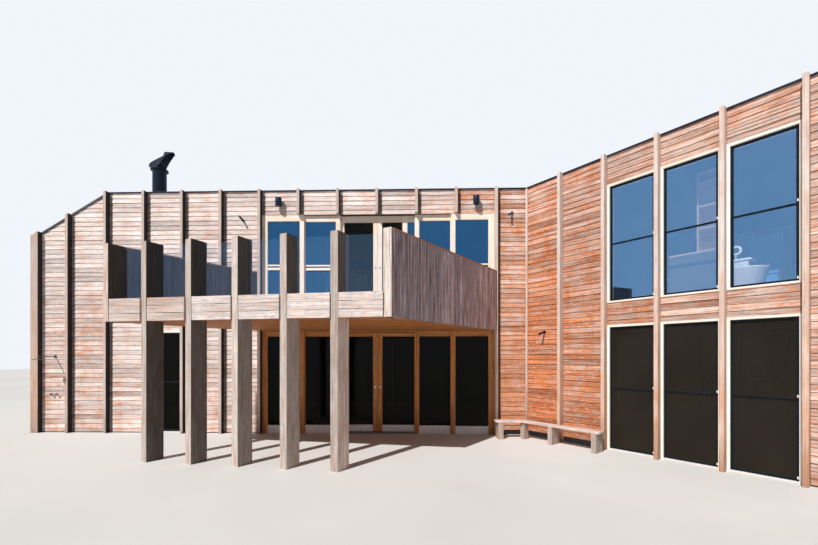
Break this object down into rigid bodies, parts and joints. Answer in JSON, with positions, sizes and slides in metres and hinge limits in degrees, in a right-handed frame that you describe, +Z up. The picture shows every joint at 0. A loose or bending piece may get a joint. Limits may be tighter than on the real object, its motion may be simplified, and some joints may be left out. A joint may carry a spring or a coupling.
{
  "type": "beach house",
  "caption": "Timber-boarded beach house with angled wings, upright facade fins, a sliding glazed door wall, a balcony on tall posts, a corner bench and a turning flue cowl.",
  "frame": {"origin": "middle of the bounding box in plan, on the ground at the underside of the ground floor", "axes": "+X along the left wing's facade towards the right wing, +Y from the courtyard into the house, +Z up; the left wing's facade is parallel to X and the right wing turns 50 degrees forward"},
  "size_m": [21.2736, 12.3112, 7.1206],
  "materials": {
    "floor_boards": "oiled floor boards",
    "roof_sheet": "dark roof membrane",
    "black_metal": "satin black coating",
    "pale_wall": "sun-bleached boards",
    "warm_wall": "weathered orange-brown boards",
    "grey_timber": "silvered rough timber",
    "honey_timber": "oiled honey timber",
    "cream_timber": "bleached pale timber",
    "dark_sash": "dark coated sash",
    "clear_glass": "clear glass",
    "soffit_timber": "warm sheltered boards",
    "pale_boards": "sun-bleached boards",
    "dark_boards": "grey-brown weathered boards",
    "red_timber": "reddish oiled cap",
    "bright_steel": "brushed steel",
    "white_enamel": "white gloss",
    "shelf_boards": "pale shelf boards"
  },
  "bodies": {
    "house": {"ground_floor": "floor_boards", "upper_floor": "floor_boards", "flat_roof": "roof_sheet", "sloped_roof_ends": "black_metal", "parapet_capping": "black_metal", "left_front_piers": "pale_wall", "left_front_bands": "pale_wall", "right_front_piers": "warm_wall", "right_front_bands": "warm_wall", "left_back_piers": "pale_wall", "left_back_bands": "pale_wall", "right_back_piers": "warm_wall", "right_back_bands": "warm_wall", "end_walls": "pale_wall", "left_fins": "grey_timber", "right_fins": "grey_timber", "back_fins": "grey_timber", "corner_boards": "grey_timber", "door_wall_sides": "honey_timber", "door_tracks": "honey_timber", "upper_door_wall": "cream_timber", "upper_doors": "cream_timber", "window_frames": "cream_timber", "window_sashes": "dark_sash", "ground_glass": "clear_glass", "upper_glass": "clear_glass", "balcony_floor": "floor_boards", "balcony_soffit": "soffit_timber", "balcony_fascia": "pale_boards", "balcony_posts": "grey_timber", "balcony_glass": "clear_glass", "balcony_sides": "dark_boards", "balcony_side_caps": "red_timber", "bench_seat": "pale_boards", "bench_legs": "pale_boards", "flue": "black_metal", "wall_lights": "black_metal", "outdoor_shower": "bright_steel", "bathtub": "white_enamel", "washstand": "white_enamel", "shelf_unit": "shelf_boards"},
    "left_door": {"left_door": "honey_timber", "left_door_glass": "clear_glass", "left_door_pull": "bright_steel"},
    "right_door": {"right_door": "honey_timber", "right_door_glass": "clear_glass", "right_door_pull": "bright_steel"},
    "flue_cowl": {"flue_cowl": "black_metal"}
  },
  "joints": [
    {"name": "left_door_slide", "type": "slide", "parent": "house", "child": "left_door", "axis": [-1, 0, 0], "range_m": [0, 0.76]},
    {"name": "right_door_slide", "type": "slide", "parent": "house", "child": "right_door", "axis": [1, 0, 0], "range_m": [0, 0.76]},
    {"name": "cowl_turn", "type": "hinge", "parent": "house", "child": "flue_cowl", "pos_m": [-8.39733, 1.15562, 6.64], "axis": [0, 0, 1], "continuous": true}
  ]
}
